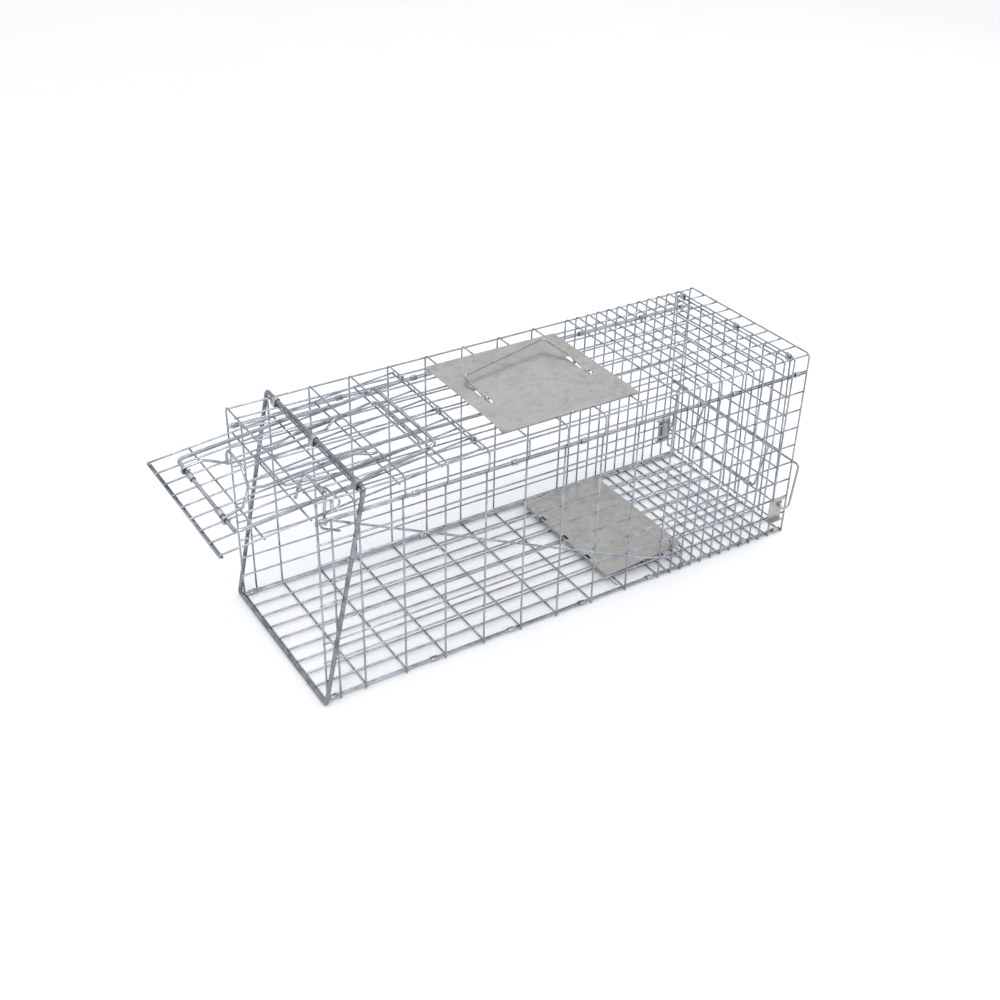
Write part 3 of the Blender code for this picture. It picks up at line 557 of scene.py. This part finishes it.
def build_lift_link():
    bm = bmesh.new()
    bar_x, bar_z = LOCK_BAR
    turns = [math.radians(10 - 20 * k) for k in range(14)]
    ring = [(bar_x + 3.9 * math.cos(a), 60.0, bar_z + 3.9 * math.sin(a)) for a in turns]
    rise = filleted([ring[-1], (-51.0, 62.0, 237.8), (-34.0, 87.0, 241.8), (-35.5, 91.0, 255.6),
                     (-35.5, 98.0, 263.6), (-35.5, 115.0, 263.6)], 5.0)
    near = [tuple(p) for p in ring + rise[1:-1]]
    wire(bm, both_ways(near), LINK_R, Y)
    run = [(-35.0, 87.0, 241.5), door_at(-18.0, LINK_Y, LINK_N + 1.5), door_at(82.0, LINK_Y, LINK_N),
           door_at(100.0, 70.5, LINK_N), door_at(106.0, 70.5, LINK_N)]
    for path in (run, mirrored(run)):
        wire(bm, path, LINK_R, bend=8.0)
    formed_piece("lift_link_wire", bm, "lift_link", "lift_link")


def build_brace():
    bm = bmesh.new()
    near = [(x, BRACE_Y, z) for x, z in (BRACE_TOP, BRACE_FOOT)]
    path = filleted(both_ways(near), 4.5, 8, closed=True)
    wire(bm, path, BRACE_R, Y, closed=True, sides=20)
    # The brace wears the darker zinc, whose base colour holds painted shade for its dark reflections.
    piece("front_brace_wire", bm, SHADED_BAR_WIRE, "cage", "bright_wire", "front_brace")
    sleeves("brace_sleeve", "brace_ferrule", "cage", (PITCH, TOP_Z), BRACE_TOP,
            BRACE_SLEEVE_R, BRACE_SLEEVE_Y, BRACE_SLEEVE_HALF)


def build_handle():
    y0, z0 = HANDLE_AXIS
    c, s = math.cos(HANDLE_TILT), math.sin(HANDLE_TILT)

    def leg(x, r):
        return (x, y0 + r * c, z0 + r * s)

    path = [(271.0, y0, z0), (259.0, y0, z0), leg(259.0, 42.0), leg(257.5, 59.7),
            leg(387.0, 89.0), leg(397.0, 50.0), (397.0, y0, z0), (385.0, y0, z0)]
    feet = filleted(path[:2] + [leg(259.0, 20.0)], 1.6), filleted([leg(397.0, 20.0)] + path[-2:], 1.6)
    bow = filleted([leg(259.0, 20.0)] + path[2:6] + [leg(397.0, 20.0)], 6.0)
    bm = bmesh.new()
    wire(bm, feet[0] + bow[1:-1] + feet[1], HANDLE_R, (0, -s, c))
    formed_piece("carry_handle_wire", bm, "carry_handle", "carry_handle")


def build_treadle():
    ax, az = TREADLE_AXIS
    bm = bmesh.new()
    wire(bm, [(ax, 8.0, az), (ax, 222.0, az)], 1.5)
    formed_piece("treadle_pin_wire", bm, "cage", "treadle_hinge_wire")
    px, pz = ROD_PIVOT
    path = [(29.0, ROD_Y, 214.0), (9.3, ROD_Y, 223.3), (7.6, ROD_Y, 228.3), (9.6, ROD_Y, 232.4),
            (17.0, ROD_Y, 231.0), (430.0, ROD_Y, 35.0), (474.0, ROD_Y, 20.2), (px, ROD_Y, pz),
            (px, 33.0, pz), (px, 33.0, 26.0)]
    bm = bmesh.new()
    wire(bm, path, ROD_R, Y, bend=3.5)
    formed_piece("trigger_rod_wire", bm, "trigger_rod", "trigger_rod")


def build_trigger():
    ax, az = TRIGGER_AXIS
    path = [(4.6, 59.0, 231.6), (9.0, 59.0, 245.0), (ax, 59.0, az), (ax, 10.5, az), (13.0, 10.5, 227.6),
            (13.0, 5.9, 227.6)]
    bm = bmesh.new()
    wire(bm, path, TRIGGER_R, Y, bend=2.6)
    formed_piece("trigger_lever_wire", bm, "trigger_lever", "trigger_lever")
    bm = bmesh.new()
    crimp(bm, TRIGGER_AXIS, TRIGGER_AXIS, 2.6, 13.1, 26.6, "y", TIGHT_GAP)
    strip_piece("trigger_sleeve", bm, "cage", "trigger_ferrule")
    bm = bmesh.new()
    wire(bm, [(21.6, 23.0, 259.6), (23.4, 4.0, 260.2), (26.0, TUBE_Y, 257.0), (24.2, TUBE_Y, 250.5),
              (20.4, TUBE_Y, 247.4), (17.0, TUBE_Y, 249.6), (17.0, TUBE_Y, 257.0)], 1.2, Z, bend=3.0)
    formed_piece("trigger_hook", bm, "cage", "trigger_hook_wire")
    bm = bmesh.new()
    crimp(bm, (17.0, TUBE_Y), (17.0, TUBE_Y), 1.85, 250.6, 259.0, "z", gap=0.5, sheet=0.56)
    strip_piece("trigger_small_tube", bm, "cage", "trigger_tube")


def build_seam_clips():
    row_y = MESH_R + WELD
    low_row = SIDE_ROW_TOP - ROW_PITCH * (SIDE_ROWS - 1)
    pairs = {"bottom": ((row_y, low_row), (FLOOR_BAR_Y, MESH_R + WELD)),
             "top": ((row_y, SIDE_ROW_TOP), (row_y, FLANGE_ROW_Z))}
    for stations, made in ((CLIPS, True), (EXTRA_CLIPS, False)):
        for seam, places in stations.items():
            side, height = seam.split("_")
            ends = pairs[height]
            if side == "far":
                ends = tuple((WIDTH - y, z) for y, z in ends)
            for k, x in enumerate(places):
                bm = bmesh.new()
                crimp(bm, *ends, PAIR_R, x - SEAM_CLIP_HALF, x + SEAM_CLIP_HALF, "x")
                label = f"seam_clip_{seam}_{k + 1}" if made else f"seam_clip_{seam}_extra_{k + 1}"
                nodes = (f"clip_{seam}_{k + 1}",) if made else ()
                strip_piece(label, bm, "cage", *nodes)


# ---- light, ground and camera -----------------------------------------------------------------------
def area_light(name, place, target, size, watts):
    data = bpy.data.lights.new(name, "AREA")
    data.shape, data.size, data.size_y, data.energy = "RECTANGLE", size[0], size[1], watts
    obj = bpy.data.objects.new(name, data)
    obj.location = place
    obj.rotation_euler = (Vector(target) - Vector(place)).to_track_quat("-Z", "Y").to_euler()
    bpy.context.scene.collection.objects.link(obj)


def build_stage():
    bm = bmesh.new()
    half = GROUND_HALF
    corners = ((-half, -half, 0), (half, -half, 0), (half, half, 0), (-half, half, 0))
    bm.faces.new([bm.verts.new(p) for p in corners])
    mesh = bpy.data.meshes.new("ground")
    bm.to_mesh(mesh)
    bm.free()
    mesh.materials.append(ground("pale_ground"))
    floor = bpy.data.objects.new("ground", mesh)
    bpy.context.scene.collection.objects.link(floor)

    world = bpy.data.worlds.new("studio")
    world.use_nodes = True
    tree = world.node_tree
    place = tree.nodes.new("ShaderNodeTexCoord")
    split = tree.nodes.new("ShaderNodeSeparateXYZ")
    tree.links.new(place.outputs["Generated"], split.inputs[0])
    ramp = tree.nodes.new("ShaderNodeValToRGB")
    while len(ramp.color_ramp.elements) < len(WORLD_STOPS):
        ramp.color_ramp.elements.new(0.5)
    for element, (height, grey) in zip(ramp.color_ramp.elements, WORLD_STOPS):
        element.position = height
        element.color = (grey * 0.985, grey, grey * 1.02, 1.0)
    tree.links.new(split.outputs["Z"], ramp.inputs["Fac"])
    # The studio's dark rim shows only in the metal: seen straight on, the backdrop is plain and pale.
    seen = tree.nodes.new("ShaderNodeLightPath")
    blend = tree.nodes.new("ShaderNodeMix")
    blend.data_type = "RGBA"
    blend.inputs[MIX_B].default_value = BACKDROP
    tree.links.new(seen.outputs["Is Camera Ray"], blend.inputs["Factor"])
    tree.links.new(ramp.outputs["Color"], blend.inputs[MIX_A])
    tree.links.new(blend.outputs[MIX_RESULT], tree.nodes["Background"].inputs["Color"])
    tree.nodes["Background"].inputs["Strength"].default_value = WORLD_STRENGTH
    bpy.context.scene.world = world
    area_light("key", (-1.2, -1.6, 2.4), (0.0, 0.0, 0.1), (1.6, 1.6), 26.0)
    area_light("rim", (2.3, 0.1, 1.3), (0.1, 0.0, 0.1), (1.2, 1.2), 14.0)

    data = bpy.data.cameras.new("view")
    data.sensor_width, data.lens = CAMERA_SENSOR, CAMERA_LENS
    camera = bpy.data.objects.new("view", data)
    camera.location = CAMERA_PLACE
    camera.rotation_euler = [math.radians(a) for a in CAMERA_TURN]
    bpy.context.scene.collection.objects.link(camera)
    bpy.context.scene.camera = camera
    bpy.context.scene.view_settings.view_transform = "Standard"


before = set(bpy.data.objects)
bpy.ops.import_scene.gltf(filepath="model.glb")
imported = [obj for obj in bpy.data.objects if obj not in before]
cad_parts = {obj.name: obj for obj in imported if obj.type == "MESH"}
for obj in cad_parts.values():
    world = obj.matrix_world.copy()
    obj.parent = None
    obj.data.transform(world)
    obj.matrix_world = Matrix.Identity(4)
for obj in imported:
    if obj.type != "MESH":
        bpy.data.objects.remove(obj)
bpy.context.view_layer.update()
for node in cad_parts.values():
    node.data.materials.clear()
    node.data.materials.append(GALVANISED)
build_top()
build_side("side_near_wires", "side_panel_near", list, NEAR_SHIFT)
build_side("side_far_wires", "side_panel_far", mirrored, 0.0)
build_floor()
build_rear_door()
build_rear_latch()
build_front_door()
build_guide_wire()
build_lock_frame()
build_lift_link()
build_brace()
build_handle()
build_treadle()
build_trigger()
build_seam_clips()
build_stage()
